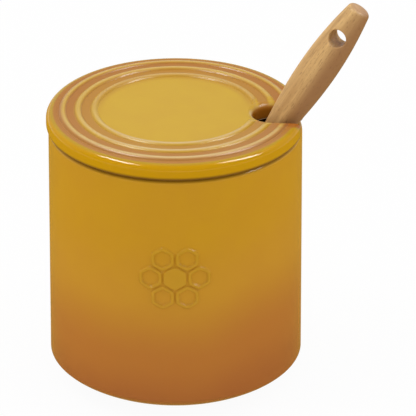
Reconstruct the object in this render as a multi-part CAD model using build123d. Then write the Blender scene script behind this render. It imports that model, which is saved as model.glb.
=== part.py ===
from build123d import *
import os
from math import cos, radians, sin, sqrt

# Honey jar: a glazed stoneware pot, its lift-off lid with an open notch in the rim, and a
# dipper that stands in the pot and leans out through the notch. Millimetres, Z up.
# The origin is on the pot's axis, on the surface that its foot stands on. The raised
# honeycomb faces -Y.

# ---- pot ----
pot_radius = 50.0           # outside of the straight wall
pot_height = 106.0          # foot to rim
pot_wall = 4.2
pot_floor = 7.0             # floor's upper face above the table
foot_width = 4.0            # width of the unglazed ring that it stands on
foot_recess = 1.5           # how far the base is hollowed inside that ring
corner_width = 19.0         # the outside's rounded bottom corner, measured inwards
corner_height = 10.2        # and upwards
corner_fullness = 0.29      # 0 is a straight bevel and 0.55 is an ellipse
inner_corner = 14.0         # radius where the floor meets the wall inside
rim_outer_round = 1.8
rim_inner_round = 1.2

# ---- raised honeycomb on the pot's front ----
comb_height = 64.0          # its centre above the table
comb_relief = 0.7           # how far it stands out of the wall
cell_pitch = 9.6            # from one cell's centre to the next
cell_gap = 0.7              # between the outer flats of two cells
cell_wall = 1.3             # width of a cell's raised line
comb_root = 1.0             # how deep the relief is sunk into the wall

# ---- lid ----
lid_overhang = 0.9          # how far the rolled edge stands out past the pot's wall
lid_thickness = 7.3         # from the seat on the rim up to the flat top
lid_plate = 6.3             # thickness of the plate in the middle
edge_roll = 2.85            # radius of the rolled edge's upper part
edge_face = 1.8             # height of its upright part below that
edge_drop = 0.4             # how far the rolled edge lies below the flat top
edge_under = 1.8            # how far the rolled edge draws in again below
ridge_insets = (19.05, 12.65)   # the two inner raised rings, from the lid's edge inwards
outer_ridge_inset = 6.5     # the third, which falls away to the band along the rolled edge
ridge_height = 0.8
outer_ridge_height = 0.6
ridge_half_width = 1.5
lid_play = 1.0              # gap between the locating flange and the pot's mouth
flange_width = 4.0
flange_depth = 5.5
flange_round = 1.0

# ---- notch in the lid ----
notch_turn = -3.9           # degrees about Z from +X to the notch's middle line
notch_width = 15.6
notch_reach = 20.3          # from the lid's edge to the notch's round inner end
notch_round = 2.6           # rounding of its upper edges
ridge_clear = 0.5           # gap between that rounding and the raised rings' ends
ridge_fade = 70.0           # slope of the rings' ends, from upright
mouth_round = 1.6           # rounding of its two corners in the lid's rim
cut_clear = 20.0            # how far a cutting body reaches past what it cuts

# ---- dipper ----
dipper_turn = -4.2          # degrees about Z from +X to the side that it leans to
lean = 31.7                 # degrees from upright
lean_gap = 0.85             # between the handle and the pot's mouth, level with its rim
floor_gap = 0.3             # between the dipper's end and the pot's floor
handle_twist = -20.2        # degrees about its own axis
handle_length = 75.0
# wood sections: place along the handle (0 is the free end, 1 the other), width, thickness
handle_sections = (
    (0.0, 9.0, 8.2), (0.09, 11.2, 10.2), (0.24, 13.8, 12.5), (0.43, 14.8, 13.4),
    (0.61, 13.6, 12.5), (0.79, 10.9, 10.4), (1.0, 9.0, 9.0),
)
handle_end_round = 1.8
hole_radius = 3.5
hole_from_end = 13.8        # middle of the hanging hole from the free end
hole_round = 0.4
core_radius = 2.2
core_in_wood = 16.0         # how far the core reaches into the handle
core_in_head = 34.0         # how far it reaches down into the ribbed head
wood_in_pot = 11.3          # how far the wood reaches down inside the mouth, along the dipper
neck_radius = 4.2
head_radius = 13.0
head_end = 6.0              # radius of the solid middle of the head, and of its round end
rib_count = 7
rib_pitch = 5.4
rib_thickness = 2.8
rib_taper = 0.55            # 0 makes every rib as large as the middle one
first_rib = 7.6             # lowest rib's height above the end
shoulder_length = 8.0       # the taper from the head to the neck

# ---- sizes that follow ----
mouth_radius = pot_radius - pot_wall
foot_outer = pot_radius - corner_width
lid_radius = pot_radius + lid_overhang
lid_seat = pot_height
lid_top = lid_seat + lid_thickness
outer_ridge = lid_radius - outer_ridge_inset
notch_end = lid_radius - notch_reach
flange_outer = mouth_radius - lid_play
roll_centre_r = lid_radius - edge_roll
roll_centre_z = lid_top - edge_drop - edge_roll
edge_low = roll_centre_z - edge_face
rib_round = rib_thickness / 2
lean_rad = radians(lean)


def turned(*edges):
    """Solid of revolution about Z from a closed outline in (radius, height)."""
    return revolve(Plane.XZ * make_face(edges), Axis.Z)


def polyline(points):
    return [Line(a, b) for a, b in zip(points, points[1:])]


def rounded_corner():
    """The pot's bottom corner, from the foot's outer edge up to the straight wall."""
    start = Vector(foot_outer, 0)
    end = Vector(pot_radius, corner_height)
    along = Vector(corner_width * corner_fullness, 0)
    up = Vector(0, corner_height * corner_fullness)
    return Bezier(start, start + along, end - up, end)


def pot_body():
    outer_round_start = (pot_radius, pot_height - rim_outer_round)
    outer_round_end = (pot_radius - rim_outer_round, pot_height)
    inner_round_start = (mouth_radius + rim_inner_round, pot_height)
    inner_round_end = (mouth_radius, pot_height - rim_inner_round)
    wall_foot = (mouth_radius, pot_floor + inner_corner)
    floor_edge = (mouth_radius - inner_corner, pot_floor)
    foot_inner = foot_outer - foot_width
    base = polyline([(0, pot_floor), (0, foot_recess), (foot_inner - foot_recess, foot_recess),
                     (foot_inner, 0), (foot_outer, 0)])
    return turned(
        *base,
        rounded_corner(),
        Line((pot_radius, corner_height), outer_round_start),
        RadiusArc(outer_round_start, outer_round_end, -rim_outer_round),
        Line(outer_round_end, inner_round_start),
        RadiusArc(inner_round_start, inner_round_end, -rim_inner_round),
        Line(inner_round_end, wall_foot),
        RadiusArc(wall_foot, floor_edge, inner_corner),
        Line(floor_edge, (0, pot_floor)),
    )


def honeycomb():
    """Seven hexagonal cells, six open ones round a filled one, wrapped on the wall."""
    flat_radius = (cell_pitch - cell_gap) / 2
    outer = flat_radius / cos(radians(30))
    inner = (flat_radius - cell_wall) / cos(radians(30))
    cells = RegularPolygon(outer, 6, rotation=30)
    open_cell = RegularPolygon(outer, 6, rotation=30) - RegularPolygon(inner, 6, rotation=30)
    for place in PolarLocations(cell_pitch, 6, rotate=False):
        cells += place * open_cell
    prisms = extrude(Plane.XZ * Pos(0, comb_height) * cells, pot_radius + comb_relief + cut_clear)
    band_height = 4 * cell_pitch
    band = Cylinder(pot_radius + comb_relief, band_height)
    band -= Cylinder(pot_radius - comb_root, band_height)
    return prisms & Pos(0, 0, comb_height) * band


def ridge(radius, height):
    low = radius - ridge_half_width
    high = radius + ridge_half_width
    return ThreePointArc((low, lid_top), (radius, lid_top + height), (high, lid_top))


def lid_outline():
    """The lid's section, from its axis over the top and the rolled edge to the flange."""
    edges = []
    reach = 0.0
    for inset in ridge_insets:
        radius = lid_radius - inset
        edges.append(Line((reach, lid_top), (radius - ridge_half_width, lid_top)))
        edges.append(ridge(radius, ridge_height))
        reach = radius + ridge_half_width
    outer_low = outer_ridge - ridge_half_width
    edges.append(Line((reach, lid_top), (outer_low, lid_top)))
    band_z = lid_top - edge_drop
    band_start = (outer_ridge + ridge_half_width, band_z)
    edges.append(ThreePointArc((outer_low, lid_top), (outer_ridge, lid_top + outer_ridge_height),
                               band_start))
    edges.append(Line(band_start, (roll_centre_r, band_z)))
    edges.append(RadiusArc((roll_centre_r, band_z), (lid_radius, roll_centre_z), edge_roll))
    edges.append(Line((lid_radius, roll_centre_z), (lid_radius, edge_low)))
    edges.append(EllipticalCenterArc((lid_radius - edge_under, edge_low), edge_under,
                                     edge_low - lid_seat, -90, arc_size=90))
    flange_low = lid_seat - flange_depth
    flange_inner = flange_outer - flange_width
    under = lid_top - lid_plate
    edges += polyline([(lid_radius - edge_under, lid_seat), (flange_outer, lid_seat),
                       (flange_outer, flange_low + flange_round)])
    edges.append(RadiusArc((flange_outer, flange_low + flange_round),
                           (flange_outer - flange_round, flange_low), flange_round))
    edges.append(Line((flange_outer - flange_round, flange_low),
                      (flange_inner + flange_round, flange_low)))
    edges.append(RadiusArc((flange_inner + flange_round, flange_low),
                           (flange_inner, flange_low + flange_round), flange_round))
    edges += polyline([(flange_inner, flange_low + flange_round), (flange_inner, under),
                       (0, under), (0, lid_top)])
    return edges


def slot_plan(grow=0.0):
    """Plan of the notch's round end and straight sides along +X, running out past the rim."""
    half = notch_width / 2 + grow
    middle = notch_end + notch_width / 2
    beyond = lid_radius + cut_clear
    sides = Pos((middle + beyond) / 2, 0) * Rectangle(beyond - middle, 2 * half)
    return Pos(middle, 0) * Circle(half) + sides


def notch_plan():
    """Plan of the whole notch, with its two corners in the lid's rim rounded."""
    half = notch_width / 2
    mouth_x = sqrt(lid_radius ** 2 - (half + mouth_round) ** 2)
    beyond = lid_radius + cut_clear
    plan = slot_plan() + Pos((mouth_x + beyond) / 2, 0) * Rectangle(beyond - mouth_x, 2 * lid_radius)
    corners = [v for v in plan.vertices()
               if abs(v.X - mouth_x) < 0.01 and abs(abs(v.Y) - half) < 0.01]
    return fillet(corners, mouth_round)


def notch_cutter():
    """What the notch takes away, flared at the top so that its edges come out rounded."""
    low = lid_seat - flange_depth - cut_clear
    depth = lid_top - low
    side = 2 * (lid_radius + 2 * cut_clear)
    block = extrude(Pos(0, 0, low) * Rectangle(side, side), depth)
    walls = block - extrude(Pos(0, 0, low) * notch_plan(), depth)
    lip = walls.faces().sort_by(Axis.Z)[-1].inner_wires()[0]
    return block - fillet(lip.edges(), notch_round)


def ridge_fading():
    """What the notch takes off the raised rings, so that they run out before its rounded edge."""
    plan = slot_plan(notch_round + ridge_clear)
    return extrude(Pos(0, 0, lid_top) * plan, 2 * ridge_height, taper=-ridge_fade)


def lid_body():
    return turned(*lid_outline()) - notch_cutter() - ridge_fading()


def handle_body():
    """Oval wooden handle, built upright with its free end at the top."""
    sections = []
    for along, width, thickness in reversed(handle_sections):
        place = Plane.XY.offset(dipper_length - along * handle_length)
        sections.append(place * Ellipse(width / 2, thickness / 2))
    wood = loft(sections)
    wood = fillet(wood.edges().group_by(Axis.Z)[-1], handle_end_round)
    hole = Pos(0, 0, dipper_length - hole_from_end) * Rot(90, 0, 0) * Cylinder(hole_radius, 2 * cut_clear)
    wood = wood - hole
    mouths = [e for e in wood.edges() if e.geom_type != GeomType.LINE
              and abs(e.center().Z - (dipper_length - hole_from_end)) < hole_radius
              and abs(e.center().Y) > 1]
    wood = fillet(mouths, hole_round)
    socket_low = dipper_length - handle_length
    return wood - Pos(0, 0, socket_low + core_in_wood / 2) * Cylinder(core_radius, core_in_wood)


def core_body():
    low = head_length - core_in_head
    high = dipper_length - handle_length + core_in_wood
    return Pos(0, 0, (low + high) / 2) * Cylinder(core_radius, high - low)


def rib_radius(index):
    offset = (index - (rib_count - 1) / 2) / ((rib_count - 1) / 2)
    return head_radius * sqrt(1 - rib_taper * offset ** 2)


def head_body():
    """Ribbed silicone head and neck in one piece, moulded round the core."""
    edges = [RadiusArc((0, 0), (head_end, head_end), -head_end)]
    reach = head_end
    for index in range(rib_count):
        middle = first_rib + index * rib_pitch
        tip = rib_radius(index) - rib_round
        below = middle - rib_round
        above = middle + rib_round
        edges += polyline([(head_end, reach), (head_end, below), (tip, below)])
        edges.append(ThreePointArc((tip, below), (tip + rib_round, middle), (tip, above)))
        edges.append(Line((tip, above), (head_end, above)))
        reach = above
    neck_top = head_length + neck_length
    top_radius = handle_sections[-1][1] / 2
    edges.append(Bezier((head_end, reach),
                        (head_end, head_length - shoulder_length / 2),
                        (neck_radius, head_length - shoulder_length / 2),
                        (neck_radius, head_length)))
    edges += polyline([(neck_radius, head_length), (neck_radius, neck_top - shoulder_length)])
    edges.append(Bezier((neck_radius, neck_top - shoulder_length),
                        (neck_radius, neck_top - shoulder_length / 2),
                        (top_radius, neck_top - shoulder_length / 2),
                        (top_radius, neck_top)))
    edges += polyline([(top_radius, neck_top), (0, neck_top), (0, 0)])
    bore_low = head_length - core_in_head
    bore = neck_top - bore_low
    return turned(*edges) - Pos(0, 0, bore_low + bore / 2) * Cylinder(core_radius, bore)


def head_low():
    """Height of the leaning head's lowest point over the middle of the dipper's end."""
    lows = [head_end * cos(lean_rad) - head_end]
    for index in range(rib_count):
        middle = first_rib + index * rib_pitch
        tip = rib_radius(index) - rib_round
        lows.append(middle * cos(lean_rad) - tip * sin(lean_rad) - rib_round)
    return min(lows)


def width_in_mouth():
    """Width of the handle where it crosses the mouth, straight between its sections."""
    mouth = 1 - wood_in_pot / handle_length
    for (near, near_width, _), (far, far_width, _) in zip(handle_sections, handle_sections[1:]):
        if near <= mouth <= far:
            return near_width + (far_width - near_width) * (mouth - near) / (far - near)
    return handle_sections[-1][1]


def dipper_place():
    """Stands the dipper on the pot's floor, leaning on the mouth under the notch."""
    rest_r = mouth_radius - lean_gap - width_in_mouth() / 2 / cos(lean_rad)
    foot_r = rest_r - to_mouth * sin(lean_rad)
    lean_out = Rot(0, lean, 0) * Rot(0, 0, handle_twist)
    return Rot(0, 0, dipper_turn) * Pos(foot_r, 0, dipper_z) * lean_out


dipper_z = pot_floor + floor_gap - head_low()
to_mouth = (pot_height - rim_inner_round - dipper_z) / cos(lean_rad)
head_length = first_rib + (rib_count - 1) * rib_pitch + rib_round + shoulder_length
neck_length = to_mouth - wood_in_pot - head_length
dipper_length = head_length + neck_length + handle_length

place = dipper_place()
nodes = {
    "pot": pot_body() + honeycomb(),
    "lid": Rot(0, 0, notch_turn) * lid_body(),
    "dipper_handle": place * handle_body(),
    "dipper_core": place * core_body(),
    "dipper_head": place * head_body(),
}

os.makedirs("parts", exist_ok=True)
for name, shape in nodes.items():
    export_step(shape, f"parts/{name}.step")

hole = place * Pos(0, 0, dipper_length - hole_from_end) * Rot(90, 0, 0)
print("hanging hole at", hole.position, "along", Plane(hole).z_dir)
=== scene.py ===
from math import asin, ceil, cos, pi, radians, sin

import bmesh
import bpy
from mathutils import Matrix, Vector


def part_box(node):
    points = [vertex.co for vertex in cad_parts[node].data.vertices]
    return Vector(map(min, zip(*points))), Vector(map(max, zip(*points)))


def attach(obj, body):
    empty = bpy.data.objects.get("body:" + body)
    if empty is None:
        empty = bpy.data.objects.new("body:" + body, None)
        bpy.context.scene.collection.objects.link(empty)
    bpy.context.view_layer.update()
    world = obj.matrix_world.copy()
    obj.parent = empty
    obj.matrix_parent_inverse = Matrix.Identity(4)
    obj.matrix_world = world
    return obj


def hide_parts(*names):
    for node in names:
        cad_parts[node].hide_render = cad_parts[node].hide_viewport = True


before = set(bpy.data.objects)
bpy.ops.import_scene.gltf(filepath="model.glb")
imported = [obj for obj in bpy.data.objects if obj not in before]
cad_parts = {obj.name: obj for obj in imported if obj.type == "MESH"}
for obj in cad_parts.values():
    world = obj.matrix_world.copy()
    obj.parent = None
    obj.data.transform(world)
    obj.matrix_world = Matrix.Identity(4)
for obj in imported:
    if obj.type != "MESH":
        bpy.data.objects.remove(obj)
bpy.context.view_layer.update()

# The looks of a glazed honey jar, its ringed lid and its dipper. Metres, Z up, the raised
# honeycomb facing -Y. Sizes come from the frame, or repeat the part's own values.

MM = 0.001

# ---- sizes from the frame ----
pot_low, pot_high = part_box("pot")
pot_radius = pot_high.x
pot_height = pot_high.z
comb_relief = -pot_low.y - pot_radius

# ---- pot ----
pot_wall = 4.2 * MM
pot_floor = 7.0 * MM
foot_width = 4.0 * MM
foot_recess = 1.5 * MM
foot_round = 0.5 * MM
corner_width = 19.0 * MM
corner_height = 10.2 * MM
corner_fullness = 0.29
inner_corner = 14.0 * MM
rim_outer_round = 1.8 * MM
rim_inner_round = 1.2 * MM
coarse_turn = 2.5           # degrees between the pot's plain columns
fine_turn = 0.3             # and between the columns under the honeycomb
fine_row = 0.25 * MM        # height of the rows through the honeycomb
plain_row = 4.0 * MM

# ---- pot glaze ----
russet_rise = (6 * MM, 28 * MM)         # heights between which one colour turns into the next
burnt_rise = (26 * MM, 58 * MM)
golden_rise = (52 * MM, 84 * MM)
# painted shade: the pot turns dark brown below these heights, at the foot's corner
foot_shade_rise = (3.2 * MM, 5.4 * MM)
waver_size = 30 * MM
waver_height = 6 * MM
right_start = 8 * MM        # from here to right_end the colours climb by right_climb
right_end = 36 * MM
right_climb = 7 * MM

# ---- honeycomb ----
comb_height = 64.0 * MM
cell_pitch = 9.6 * MM
cell_gap = 0.7 * MM
cell_wall = 1.3 * MM
cell_softness = 0.45 * MM   # width of the glaze's soft shoulder on each side of a raised line
cell_power = 12             # how square the cells' corners are
comb_reach = 1.6 * cell_pitch

# ---- lid ----
lid_thickness = 7.3 * MM
lid_plate = 6.3 * MM         # thickness inside the rolled edge
lid_top = pot_height + lid_thickness
underside = lid_top - lid_plate
crest_radii = (31.85 * MM, 38.25 * MM, 44.4 * MM)
notch_turn = -3.9
notch_width = 15.6 * MM
notch_end = 30.6 * MM
flange_radius = 45.8 * MM
gold_radii = (47.6 * MM, 48.8 * MM, 50.0 * MM)     # where the rolled edge turns gold
notch_lip = 0.7 * MM
crest_line = 0.25 * MM       # half the width of a crest's cream line
crest_softness = 0.9 * MM
# painted shade on the disc's back border, between these radii
disc_shade_border = (27 * MM, 30.5 * MM)
orange_push = 2.6 * MM
# painted shade in the seam between lid and pot fades out between these heights
seam_shade_heights = (pot_height + 0.7 * MM, pot_height + 2.3 * MM)
ring_roughness = 0.3
edge_roughness = 0.12
notch_corner = 3.5 * MM

# ---- dipper ----
dipper_turn = -4.2
lean = 31.7
handle_twist = -20.2
hole_centre = Vector((64.906, -4.766, 147.255)) * MM
end_from_hole = 13.8 * MM

# ---- camera ----
view_elevation = 26.2
view_distance = 2.5
view_target = Vector((12.86 * MM, 0.0, 70.03 * MM))
picture_width = 416         # pixels
picture_scale = 2.524       # pixels to a millimetre at the target
view_width = picture_width / picture_scale * MM
sensor = 36.0

# ---- studio ----
ambient_level = 0.87        # the world's even light
horizon_low = 2.0           # degrees above the horizon where its white starts to fade in gloss
horizon_high = 9.0
back_level = 0.45           # what gloss sees higher up, behind the jar
floor_glow = 0.95           # share of the floor that shows plain white; the rest keeps shadows
floor_tone = 0.82
card_reach = 1.5
card_lift = 0.2 * MM

# ---- colours, linear ----


def colour(red, green, blue):
    """A colour written in 8-bit display values, as the linear value that shaders take."""
    linear = []
    for value in (red, green, blue):
        part = value / 255
        linear.append(part / 12.92 if part <= 0.04045 else ((part + 0.055) / 1.055) ** 2.4)
    return (*linear, 1.0)


golden = colour(200, 147, 30)
amber = colour(199, 143, 42)
burnt = colour(183, 115, 48)
russet = colour(170, 101, 49)
honey = colour(203, 163, 41)
cream = colour(211, 182, 126)
slope_gold = colour(185, 148, 36)
terracotta = colour(175, 115, 44)
rolled_gold = colour(201, 149, 1)
# painted shade inside the notch
notch_wall_shade = colour(160, 100, 16)
notch_orange = colour(172, 98, 34)
# painted shade in the seam between lid and pot
seam_shade = colour(110, 75, 24)
# painted shade at the foot's corner
foot_shade = colour(128, 79, 46)
pale_glaze = colour(226, 206, 176)
bare_clay = colour(214, 196, 168)
beech_light = colour(226, 184, 120)
beech_dark = colour(190, 146, 90)
# painted shade on one flank of the handle
beech_shade = colour(160, 114, 68)
end_grain = colour(186, 142, 108)
beech_pore = colour(132, 90, 52)
silicone_tone = colour(206, 150, 48)
nylon_tone = colour(228, 222, 206)
card_glow = colour(186, 148, 66)


# ---- shader helpers ----


def material(name, roughness, specular):
    """A new principled material: (material, node tree, principled node)."""
    made = bpy.data.materials.new(name)
    made.use_nodes = True
    tree = made.node_tree
    surface = tree.nodes["Principled BSDF"]
    surface.inputs["Roughness"].default_value = roughness
    surface.inputs["Specular IOR Level"].default_value = specular
    return made, tree, surface


def plug(tree, socket, value):
    """Links an output socket, or sets a plain value."""
    if isinstance(value, bpy.types.NodeSocket):
        tree.links.new(value, socket)
    elif value is not None:
        socket.default_value = value


def maths(tree, operation, *values):
    made = tree.nodes.new("ShaderNodeMath")
    made.operation = operation
    for socket, value in zip(made.inputs, values):
        plug(tree, socket, value)
    return made.outputs[0]


def step(tree, value, low, high):
    """0 below low and 1 above high, smooth between them."""
    made = tree.nodes.new("ShaderNodeMapRange")
    made.interpolation_type = "SMOOTHSTEP"
    plug(tree, made.inputs["Value"], value)
    plug(tree, made.inputs["From Min"], low)
    plug(tree, made.inputs["From Max"], high)
    return made.outputs["Result"]


def fall(tree, value, low, high):
    """1 below low and 0 above high, smooth between them."""
    return maths(tree, "SUBTRACT", 1.0, step(tree, value, low, high))


def product(tree, first, second):
    return maths(tree, "MULTIPLY", first, second)


def mix_colours(tree, share, first, second):
    """Mixes two colours; the node's colour sockets are picked by type."""
    made = tree.nodes.new("ShaderNodeMix")
    made.data_type = "RGBA"
    colours = [s for s in made.inputs if s.type == "RGBA"]
    plug(tree, made.inputs[0], share)
    plug(tree, colours[0], first)
    plug(tree, colours[1], second)
    return [s for s in made.outputs if s.type == "RGBA"][0]


def object_point(tree, location=(0, 0, 0), turn=(0, 0, 0), scale=(1, 1, 1)):
    """Object coordinates, read in a frame that stands at location and is turned by turn."""
    source = tree.nodes.new("ShaderNodeTexCoord")
    placed = tree.nodes.new("ShaderNodeMapping")
    placed.vector_type = "TEXTURE"
    placed.inputs["Location"].default_value = location
    placed.inputs["Rotation"].default_value = turn
    placed.inputs["Scale"].default_value = scale
    tree.links.new(source.outputs["Object"], placed.inputs["Vector"])
    return placed.outputs["Vector"]


def apart(tree, vector):
    made = tree.nodes.new("ShaderNodeSeparateXYZ")
    tree.links.new(vector, made.inputs[0])
    return made.outputs[0], made.outputs[1], made.outputs[2]


def noise(tree, vector, size, detail=3.0, roughness=0.5):
    """Noise whose lumps are about size across."""
    made = tree.nodes.new("ShaderNodeTexNoise")
    plug(tree, made.inputs["Vector"], vector)
    made.inputs["Scale"].default_value = 1 / size
    made.inputs["Detail"].default_value = detail
    made.inputs["Roughness"].default_value = roughness
    return made.outputs["Fac"]


def bump(tree, surface, height, depth):
    made = tree.nodes.new("ShaderNodeBump")
    made.inputs["Strength"].default_value = 1.0
    made.inputs["Distance"].default_value = depth
    tree.links.new(height, made.inputs["Height"])
    tree.links.new(made.outputs["Normal"], surface.inputs["Normal"])


def mottled(tree, surface, tint, vector):
    """Finishes a glaze: faint clouds in its colour and the slight unevenness of its gloss."""
    clouds = step(tree, noise(tree, vector, 14 * MM, 4.0), 0.3, 0.7)
    specks = step(tree, noise(tree, vector, 0.9 * MM, 2.0), 0.66, 0.78)
    tint = mix_colours(tree, product(tree, clouds, 0.10), tint, burnt)
    tint = mix_colours(tree, product(tree, specks, 0.06), tint, russet)
    tree.links.new(tint, surface.inputs["Base Color"])
    bump(tree, surface, noise(tree, vector, 6 * MM, 1.0), 0.02 * MM)


# ---- materials ----


def body_glaze():
    """The pot's outside: golden at the top, burnt orange towards the foot, with painted shade at
    the foot's corner and at the top of the rim under the lid.
    """
    made, tree, surface = material("ombre_glaze", 0.14, specular=0.3)
    vector = object_point(tree)
    across, _, level = apart(tree, vector)
    waver = maths(tree, "SUBTRACT", noise(tree, vector, waver_size, 2.0), 0.5)
    height = maths(tree, "ADD", level, product(tree, waver, waver_height))
    right = step(tree, across, right_start, right_end)
    height = maths(tree, "MULTIPLY_ADD", right, -right_climb, height)
    upper = mix_colours(tree, step(tree, height, *golden_rise), amber, golden)
    tint = mix_colours(tree, step(tree, height, *burnt_rise), burnt, upper)
    tint = mix_colours(tree, step(tree, height, *russet_rise), russet, tint)
    # Painted shade: dark brown over the lowest few millimetres of the corner.
    tint = mix_colours(tree, step(tree, level, *foot_shade_rise), foot_shade, tint)
    # Painted shade: the top of the rim, under the lid, half dark brown.
    rim = step(tree, level, pot_height - 1.2 * MM, pot_height - 0.4 * MM)
    tint = mix_colours(tree, product(tree, rim, 0.5), tint, seam_shade)
    raised = tree.nodes.new("ShaderNodeAttribute")
    raised.attribute_name = "raised"
    worn = product(tree, raised.outputs["Fac"], 0.3)
    tint = mix_colours(tree, worn, tint, slope_gold)
    mottled(tree, surface, tint, vector)
    return made


def inner_glaze():
    """The pale glaze inside the pot, over its rim and under the lid."""
    made, tree, surface = material("pale_inner_glaze", 0.22, specular=0.3)
    vector = object_point(tree)
    clouds = step(tree, noise(tree, vector, 9 * MM, 3.0), 0.3, 0.7)
    specks = step(tree, noise(tree, vector, 0.5 * MM, 1.0), 0.7, 0.78)
    tint = mix_colours(tree, product(tree, clouds, 0.25), pale_glaze, bare_clay)
    tint = mix_colours(tree, product(tree, specks, 0.2), tint, burnt)
    tree.links.new(tint, surface.inputs["Base Color"])
    bump(tree, surface, noise(tree, vector, 5 * MM, 1.0), 0.02 * MM)
    return made


def clay():
    """The wiped, unglazed ring that the pot stands on."""
    made, tree, surface = material("bare_clay", 0.85, specular=0.3)
    vector = object_point(tree)
    grit = noise(tree, vector, 0.4 * MM, 4.0)
    tint = mix_colours(tree, step(tree, grit, 0.4, 0.7), bare_clay, pale_glaze)
    tree.links.new(tint, surface.inputs["Base Color"])
    bump(tree, surface, grit, 0.08 * MM)
    return made


def notch_distance(tree):
    """How far a point of the lid is from the notch's outline."""
    turned = object_point(tree, turn=(0, 0, radians(notch_turn)))
    along, across, _ = apart(tree, turned)
    half = notch_width / 2
    inward = maths(tree, "MAXIMUM", maths(tree, "SUBTRACT", notch_end + half, along), 0.0)
    square = maths(tree, "ADD", product(tree, inward, inward), product(tree, across, across))
    return maths(tree, "SUBTRACT", maths(tree, "SQRT", square), half)


def line(tree, distance):
    """1 on a crest, where distance is 0, falling to 0 beside it."""
    away = maths(tree, "ABSOLUTE", distance)
    return fall(tree, away, crest_line, crest_line + crest_softness)


def pool_orange(tree, tint, radius, pool_and_sheen):
    """Orange glaze between the rings, shallower in the inner hollow than in the outer."""
    hollows = ((crest_radii[0], crest_radii[1], 0.75), (crest_radii[1], crest_radii[2], 1.0))
    for low, high, depth_share in hollows:
        inside = step(tree, radius, low + 0.5 * MM, low + 2.2 * MM)
        outside = step(tree, radius, high - 1.6 * MM, high - 0.3 * MM)
        pool = product(tree, maths(tree, "SUBTRACT", inside, outside), depth_share)
        tint = mix_colours(tree, pool, tint, pool_and_sheen)
    return tint


def disc_rear_shade(tree, tint, radius, side):
    """Painted shade: a little orange on the disc's border, on the side away from the honeycomb.
    """
    rear_shade = product(tree, step(tree, side, -0.3, 0.5), 0.4)
    inner = product(tree, step(tree, radius, *disc_shade_border), rear_shade)
    within = fall(tree, radius, crest_radii[0], crest_radii[0] + MM)
    return mix_colours(tree, product(tree, inner, within), tint, terracotta)


def gild_edge(tree, tint, radius, from_notch):
    """Gold over the rolled edge; beside the notch deep orange pushes it outwards."""
    beside = fall(tree, from_notch, 2 * MM, 6 * MM)
    reach = maths(tree, "MULTIPLY_ADD", beside, -orange_push, radius)
    scorch = product(tree, beside, step(tree, radius, 43 * MM, 46 * MM))
    tint = mix_colours(tree, product(tree, scorch, 0.8), tint, notch_orange)
    start, middle, end = gold_radii
    tint = mix_colours(tree, step(tree, reach, start, middle), tint, slope_gold)
    return mix_colours(tree, step(tree, reach, middle, end), tint, rolled_gold)


def shade_hollows(tree, tint, radius, height, from_notch):
    """Painted shade: dark brown on the notch's low walls and in the seam over the pot; the
    underside is pale.
    """
    # Painted shade: the notch's walls dark brown below the lid's top.
    in_notch = fall(tree, from_notch, 0.0, 1.2 * MM)
    low_wall = fall(tree, height, lid_top - 1.6 * MM, lid_top - 0.6 * MM)
    tint = mix_colours(tree, product(tree, in_notch, low_wall), tint, notch_wall_shade)
    # Painted shade: the lid's lower edge dark brown in the seam over the pot.
    seam = fall(tree, height, *seam_shade_heights)
    tint = mix_colours(tree, seam, tint, seam_shade)
    below = fall(tree, height, underside, underside + 0.3 * MM)
    within = fall(tree, radius, flange_radius, flange_radius + 0.6 * MM)
    return mix_colours(tree, product(tree, below, within), tint, pale_glaze)


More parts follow.
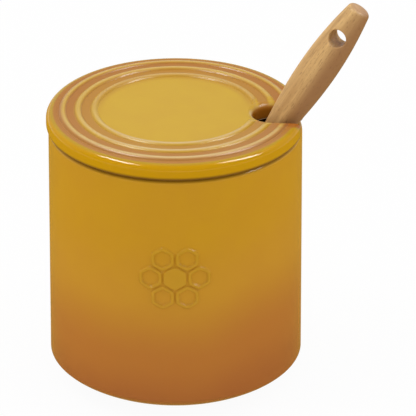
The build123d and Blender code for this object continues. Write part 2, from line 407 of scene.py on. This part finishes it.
def lid_glaze():
    """The lid: glaze breaks to cream on its crests and lip, and pools orange between them.
    Painted highlight strengthens the cream at the front and back and on the notch's near lip,
    painted sheen lightens the pools towards the front, and painted shade darkens the disc's back
    border, the notch's walls and the seam; the crests' cream fades in the handle's painted
    shadow.
    """
    made, tree, surface = material("ringed_glaze", 0.12, specular=0.3)
    vector = object_point(tree)
    across, depth, height = apart(tree, vector)
    square = maths(tree, "ADD", product(tree, across, across), product(tree, depth, depth))
    radius = maths(tree, "SQRT", square)
    side = maths(tree, "DIVIDE", depth, radius)
    from_notch = notch_distance(tree)
    edge = maths(tree, "SMOOTH_MAX", maths(tree, "SUBTRACT", radius, crest_radii[2]),
                 maths(tree, "SUBTRACT", notch_lip, from_notch), notch_corner)

    rolled = step(tree, radius, 46 * MM, 48 * MM)
    satin = maths(tree, "MULTIPLY_ADD", rolled, edge_roughness - ring_roughness, ring_roughness)
    tree.links.new(satin, surface.inputs["Roughness"])

    # Cream on the crests: part glaze break, part painted highlight that is stronger at the front
    # and back of the rings.
    break_and_highlight = maths(tree, "MULTIPLY_ADD", maths(tree, "ABSOLUTE", side), 0.55, 0.25)
    break_and_highlight = maths(tree, "MULTIPLY_ADD", side, -0.25, break_and_highlight)
    # Painted shadow of the handle: the crests' cream fades towards the notch.
    handle_shadow_fade = maths(tree, "MULTIPLY_ADD", step(tree, from_notch, 1 * MM, 10 * MM), 0.75, 0.25)
    faded = product(tree, break_and_highlight, handle_shadow_fade)
    # The notch's lip is cream on its near side only: part glaze break, part painted highlight.
    lip = product(tree, fall(tree, depth, -3 * MM, 2 * MM),
                  fall(tree, from_notch, 1.2 * MM, 3 * MM))

    # Painted sheen: the orange pools turn a little cream towards the front.
    front = fall(tree, side, -0.8, 0.2)
    pool_and_sheen = mix_colours(tree, product(tree, front, 0.1), terracotta, cream)
    tint = pool_orange(tree, honey, radius, pool_and_sheen)
    tint = disc_rear_shade(tree, tint, radius, side)
    for crest in crest_radii[:2]:
        share = product(tree, line(tree, maths(tree, "SUBTRACT", radius, crest)), faded)
        tint = mix_colours(tree, share, tint, cream)
    tint = mix_colours(tree, step(tree, edge, -0.6 * MM, 1.2 * MM), tint, pool_and_sheen)
    share = product(tree, line(tree, edge), maths(tree, "MAXIMUM", faded, lip))
    tint = mix_colours(tree, share, tint, cream)
    tint = gild_edge(tree, tint, radius, from_notch)
    tint = shade_hollows(tree, tint, radius, height, from_notch)
    mottled(tree, surface, tint, vector)
    return made


def dipper_frame():
    """Turn of the dipper's own axes: Z along it, Y along the hanging hole."""
    turn = Matrix.Rotation(radians(dipper_turn), 3, "Z") @ Matrix.Rotation(radians(lean), 3, "Y")
    return (turn @ Matrix.Rotation(radians(handle_twist), 3, "Z")).to_euler()


def beech():
    """Oiled beech: straight grain along the handle, with short dark pores, and painted shade on
    one flank.
    """
    made, tree, surface = material("beech", 0.45, specular=0.35)
    turn = dipper_frame()
    long_grain = object_point(tree, turn=turn, scale=(1, 1, 22))
    fibres = noise(tree, long_grain, 0.7 * MM, 5.0, 0.6)
    bands = noise(tree, long_grain, 3.2 * MM, 2.0)
    dashes = noise(tree, object_point(tree, turn=turn, scale=(1, 1, 7)), 0.35 * MM, 1.0)
    tint = mix_colours(tree, step(tree, bands, 0.3, 0.7), beech_light, beech_dark)
    streaks = product(tree, step(tree, fibres, 0.4, 0.75), 0.8)
    tint = mix_colours(tree, streaks, tint, beech_dark)
    flank, _, along = apart(tree, object_point(tree, location=hole_centre, turn=turn))
    # Painted shade: one flank of the handle darker.
    tint = mix_colours(tree, step(tree, flank, -1.5 * MM, 5.0 * MM), tint, beech_shade)
    tint = mix_colours(tree, step(tree, along, end_from_hole - 0.8 * MM,
                                  end_from_hole + 0.7 * MM), tint, end_grain)
    pores = step(tree, dashes, 0.62, 0.72)
    tint = mix_colours(tree, product(tree, pores, 0.45), tint, beech_pore)
    tree.links.new(tint, surface.inputs["Base Color"])
    bump(tree, surface, maths(tree, "SUBTRACT", fibres, pores), 0.05 * MM)
    return made


def silicone():
    made, tree, surface = material("silicone", 0.42, specular=0.3)
    vector = object_point(tree)
    clouds = noise(tree, vector, 8 * MM, 3.0)
    tint = mix_colours(tree, product(tree, clouds, 0.3), silicone_tone, amber)
    tree.links.new(tint, surface.inputs["Base Color"])
    bump(tree, surface, noise(tree, vector, 0.6 * MM, 2.0), 0.02 * MM)
    return made


def nylon():
    made, tree, surface = material("nylon", 0.5, specular=0.3)
    vector = object_point(tree)
    grain = noise(tree, vector, 1.5 * MM, 3.0)
    tint = mix_colours(tree, product(tree, grain, 0.3), nylon_tone, bare_clay)
    tree.links.new(tint, surface.inputs["Base Color"])
    return made


# ---- pot ----


def arc(centre, radius, start, end, steps):
    """Points of an arc in (radius, height), from angle start to end in degrees."""
    points = []
    for index in range(steps + 1):
        angle = radians(start + (end - start) * index / steps)
        points.append((centre[0] + radius * cos(angle), centre[1] + radius * sin(angle)))
    return points


def bezier(start, first, second, end, steps):
    points = []
    for index in range(steps + 1):
        t = index / steps
        weights = ((1 - t) ** 3, 3 * t * (1 - t) ** 2, 3 * t * t * (1 - t), t ** 3)
        points.append(tuple(sum(w * p[axis] for w, p in zip(weights, (start, first, second, end)))
                            for axis in (0, 1)))
    return points


def rows(start, end, height):
    """Heights from start to end, at most height apart, without the two ends."""
    count = ceil(abs(end - start) / height)
    return [start + (end - start) * index / count for index in range(1, count)]


def pot_outside():
    """From the foot's underside over the rounded corner and up the wall to the rim."""
    foot_outer = pot_radius - corner_width
    foot_inner = foot_outer - foot_width
    handle_in = corner_width * corner_fullness
    handle_up = corner_height * corner_fullness
    comb_low = comb_height - comb_reach
    comb_high = comb_height + comb_reach
    points = [(0.0, foot_recess), (foot_inner - foot_recess, foot_recess)]
    points += [(foot_inner, 0.0), (foot_outer - foot_round, 0.0)]
    points += bezier((foot_outer, foot_round * 0.4), (foot_outer + handle_in, foot_round * 0.4),
                     (pot_radius, corner_height - handle_up), (pot_radius, corner_height), 28)
    wall_end = pot_height - rim_outer_round
    points += [(pot_radius, z) for z in rows(corner_height, comb_low, plain_row)]
    points += [(pot_radius, comb_low)]
    points += [(pot_radius, z) for z in rows(comb_low, comb_high, fine_row)]
    points += [(pot_radius, comb_high)]
    points += [(pot_radius, z) for z in rows(comb_high, wall_end, plain_row)]
    points += arc((pot_radius - rim_outer_round, wall_end), rim_outer_round, 0, 90, 10)
    return points


def pot_inside():
    """From the rim down the inner wall to the middle of the floor."""
    mouth = pot_radius - pot_wall
    top = pot_height - rim_inner_round
    points = arc((mouth + rim_inner_round, top), rim_inner_round, 90, 180, 8)
    points += [(mouth, z) for z in rows(top, pot_floor + inner_corner, plain_row)]
    points += arc((mouth - inner_corner, pot_floor + inner_corner), inner_corner, 0, -90, 16)
    points += [(0.0, pot_floor)]
    return points


def turned(bm, section, start, sweep, steps):
    """Spins an open outline in (radius, height) about Z, between two angles in degrees."""
    turn = Matrix.Rotation(radians(start), 3, "Z")
    verts = [bm.verts.new(turn @ Vector((r, 0.0, z))) for r, z in section]
    edges = [bm.edges.new(pair) for pair in zip(verts, verts[1:])]
    bmesh.ops.spin(bm, geom=verts + edges, cent=(0, 0, 0), axis=(0, 0, 1),
                   angle=radians(sweep), steps=steps, use_merge=False)


def smooth_ramp(value):
    value = min(1.0, max(0.0, value))
    return value * value * (3 - 2 * value)


def cell_distance(across, up):
    """Distance from a cell's middle to its nearest flat, with softly rounded corners."""
    total = 0.0
    for angle in (0, 60, 120):
        total += abs(across * cos(radians(angle)) + up * sin(radians(angle))) ** cell_power
    return total ** (1 / cell_power)


def comb_rise(across, up):
    """Share of the full relief at a place on the unrolled wall, from the comb's middle."""
    outer = (cell_pitch - cell_gap) / 2
    middle = outer - cell_wall / 2
    rise = smooth_ramp((outer + cell_softness / 2 - cell_distance(across, up)) / cell_softness)
    for angle in range(0, 360, 60):
        cell_across = across - cell_pitch * cos(radians(angle))
        cell_up = up - cell_pitch * sin(radians(angle))
        away = abs(cell_distance(cell_across, cell_up) - middle) - cell_wall / 2
        rise = max(rise, smooth_ramp((cell_softness / 2 - away) / cell_softness))
    return rise


def raise_comb(bm):
    """Lifts the wall's points into the honeycomb, and keeps the lift as an attribute."""
    raised = bm.verts.layers.float.new("raised")
    for vert in bm.verts:
        reach = vert.co.xy.length
        up = vert.co.z - comb_height
        if reach < pot_radius - MM / 10 or abs(up) > comb_reach or vert.co.y > 0:
            continue
        across = asin(vert.co.x / reach) * pot_radius
        if abs(across) > comb_reach:
            continue
        rise = comb_rise(across, up)
        vert[raised] = rise
        vert.co.xy *= (pot_radius + comb_relief * rise) / reach


def finished(bm, name, body, node, materials):
    """Makes a piece of a bmesh, in place of a CAD node."""
    bmesh.ops.remove_doubles(bm, verts=bm.verts[:], dist=MM / 200)
    bmesh.ops.recalc_face_normals(bm, faces=bm.faces[:])
    mesh = bpy.data.meshes.new(name)
    bm.to_mesh(mesh)
    bm.free()
    for item in materials:
        mesh.materials.append(item)
    mesh.shade_smooth()
    mesh.set_sharp_from_angle(angle=radians(50))
    piece = bpy.data.objects.new(name, mesh)
    bpy.context.scene.collection.objects.link(piece)
    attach(piece, body)
    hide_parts(node)
    return piece


def make_pot(outer, inner, unglazed):
    bm = bmesh.new()
    section = pot_outside() + pot_inside()
    comb_turn = ceil(comb_reach / pot_radius * 180 / pi / coarse_turn) * coarse_turn
    turned(bm, section, -90 - comb_turn, 2 * comb_turn, round(2 * comb_turn / fine_turn))
    rest = 360 - 2 * comb_turn
    turned(bm, section, -90 + comb_turn, rest, round(rest / coarse_turn))
    bmesh.ops.remove_doubles(bm, verts=bm.verts[:], dist=MM / 200)
    raise_comb(bm)
    foot_outer = pot_radius - corner_width
    for face in bm.faces:
        centre = face.calc_center_median()
        reach = centre.xy.length
        below = centre.z < foot_recess + MM / 10 and reach < foot_outer
        inside = reach < pot_radius - pot_wall + MM / 10 and not below and centre.z > foot_recess
        on_rim = centre.z > pot_height - MM / 5 and reach < pot_radius - rim_outer_round
        if below:
            face.material_index = 2
        elif (inside and centre.z > pot_floor - MM / 10) or on_rim:
            face.material_index = 1
    return finished(bm, "pot_body", "pot", "pot", [outer, inner, unglazed])


def dress(node, finish):
    """Gives a CAD node its finish."""
    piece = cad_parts[node]
    piece.data.materials.clear()
    piece.data.materials.append(finish)


# ---- studio ----


def seen_directly(tree):
    """1 for the rays that show the background: to the camera, off gloss and through glass."""
    path = tree.nodes.new("ShaderNodeLightPath")
    seen = maths(tree, "MAXIMUM", path.outputs["Is Camera Ray"], path.outputs["Is Glossy Ray"])
    return maths(tree, "MAXIMUM", seen, path.outputs["Is Transmission Ray"])


def make_world():
    """Plain light all round; gloss sees a white horizon, a grey back and a dark front."""
    world = bpy.data.worlds.new("studio")
    bpy.context.scene.world = world
    world.use_nodes = True
    tree = world.node_tree
    path = tree.nodes.new("ShaderNodeLightPath")
    coordinates = tree.nodes.new("ShaderNodeTexCoord")
    _, depth, height = apart(tree, coordinates.outputs["Generated"])
    horizon = fall(tree, height, sin(radians(horizon_low)), sin(radians(horizon_high)))
    back = product(tree, step(tree, depth, -0.3, 0.5), back_level)
    room = maths(tree, "MAXIMUM", horizon, back)
    dim = product(tree, maths(tree, "SUBTRACT", 1.0, room), path.outputs["Is Glossy Ray"])
    shown = maths(tree, "SUBTRACT", 1.0, dim)
    seen = seen_directly(tree)
    lit = product(tree, maths(tree, "SUBTRACT", 1.0, seen), ambient_level)
    strength = maths(tree, "ADD", lit, product(tree, seen, shown))
    tree.links.new(strength, tree.nodes["Background"].inputs["Strength"])
    tree.nodes["Background"].inputs["Color"].default_value = (1, 1, 1, 1)


def stage_piece(name, bm):
    mesh = bpy.data.meshes.new(name)
    bm.to_mesh(mesh)
    bm.free()
    piece = bpy.data.objects.new(name, mesh)
    bpy.context.scene.collection.objects.link(piece)
    made = bpy.data.materials.new(name)
    made.use_nodes = True
    mesh.materials.append(made)
    return piece, made.node_tree


def make_floor():
    bm = bmesh.new()
    bmesh.ops.create_grid(bm, x_segments=1, y_segments=1, size=4.0)
    _, tree = stage_piece("white_floor", bm)
    surface = tree.nodes["Principled BSDF"]
    surface.inputs["Base Color"].default_value = (floor_tone, floor_tone, floor_tone, 1)
    surface.inputs["Roughness"].default_value = 0.9
    surface.inputs["Specular IOR Level"].default_value = 0.0
    glow = tree.nodes.new("ShaderNodeEmission")
    glow.inputs["Strength"].default_value = 1.0
    mixer = tree.nodes.new("ShaderNodeMixShader")
    share = product(tree, seen_directly(tree), floor_glow)
    tree.links.new(share, mixer.inputs["Fac"])
    tree.links.new(surface.outputs[0], mixer.inputs[1])
    tree.links.new(glow.outputs[0], mixer.inputs[2])
    tree.links.new(mixer.outputs[0], tree.nodes["Material Output"].inputs["Surface"])


def make_card():
    """A warm card round the foot that only gloss sees."""
    bm = bmesh.new()
    bmesh.ops.create_circle(bm, segments=96, radius=card_reach, cap_ends=True)
    bmesh.ops.translate(bm, verts=bm.verts[:], vec=(0, 0, card_lift))
    card, tree = stage_piece("warm_card", bm)
    surface = tree.nodes["Principled BSDF"]
    surface.inputs["Base Color"].default_value = (0, 0, 0, 1)
    surface.inputs["Specular IOR Level"].default_value = 0.0
    surface.inputs["Emission Color"].default_value = card_glow
    surface.inputs["Emission Strength"].default_value = 1.0
    card.visible_camera = False
    card.visible_diffuse = False
    card.visible_transmission = False
    card.visible_shadow = False


def aim(thing, target):
    thing.rotation_euler = (target - thing.location).to_track_quat("-Z", "Y").to_euler()


def softbox(name, azimuth, elevation, distance, width, height, radiance, gloss=0):
    """A rectangular lamp; azimuth is from straight in front, positive to the right."""
    lamp = bpy.data.lights.new(name, "AREA")
    lamp.shape = "RECTANGLE"
    lamp.size = width
    lamp.size_y = height
    lamp.energy = radiance * pi * width * height
    made = bpy.data.objects.new(name, lamp)
    bpy.context.scene.collection.objects.link(made)
    out = cos(radians(elevation)) * distance
    centre = Vector((0, 0, pot_height / 2))
    made.location = centre + Vector((sin(radians(azimuth)) * out, -cos(radians(azimuth)) * out,
                                     sin(radians(elevation)) * distance))
    aim(made, centre)
    made.visible_diffuse = gloss == 0
    made.visible_glossy = gloss == 1


def make_camera():
    lens = bpy.data.cameras.new("camera")
    lens.sensor_width = sensor
    lens.lens = sensor * view_distance / view_width
    lens.clip_end = 20.0
    made = bpy.data.objects.new("camera", lens)
    bpy.context.scene.collection.objects.link(made)
    tilt = radians(view_elevation)
    made.location = view_target + Vector((0, -cos(tilt), sin(tilt))) * view_distance
    aim(made, view_target)
    bpy.context.scene.camera = made


bpy.context.scene.view_settings.view_transform = "Standard"
make_camera()
make_world()
make_floor()
make_card()
softbox("key_left", -88, 58, 1.2, 0.8, 0.6, 2.3)
softbox("fill_right", 84, 50, 1.2, 0.8, 0.6, 1.25)
softbox("strip_left", -84, 63, 1.2, 0.62, 0.2, 26.0, gloss=1)
softbox("strip_right", 84, 54, 1.2, 0.24, 0.66, 24.0, gloss=1)

pale = inner_glaze()
make_pot(body_glaze(), pale, clay())
dress("lid", lid_glaze())
dress("dipper_handle", beech())
dress("dipper_core", nylon())
dress("dipper_head", silicone())
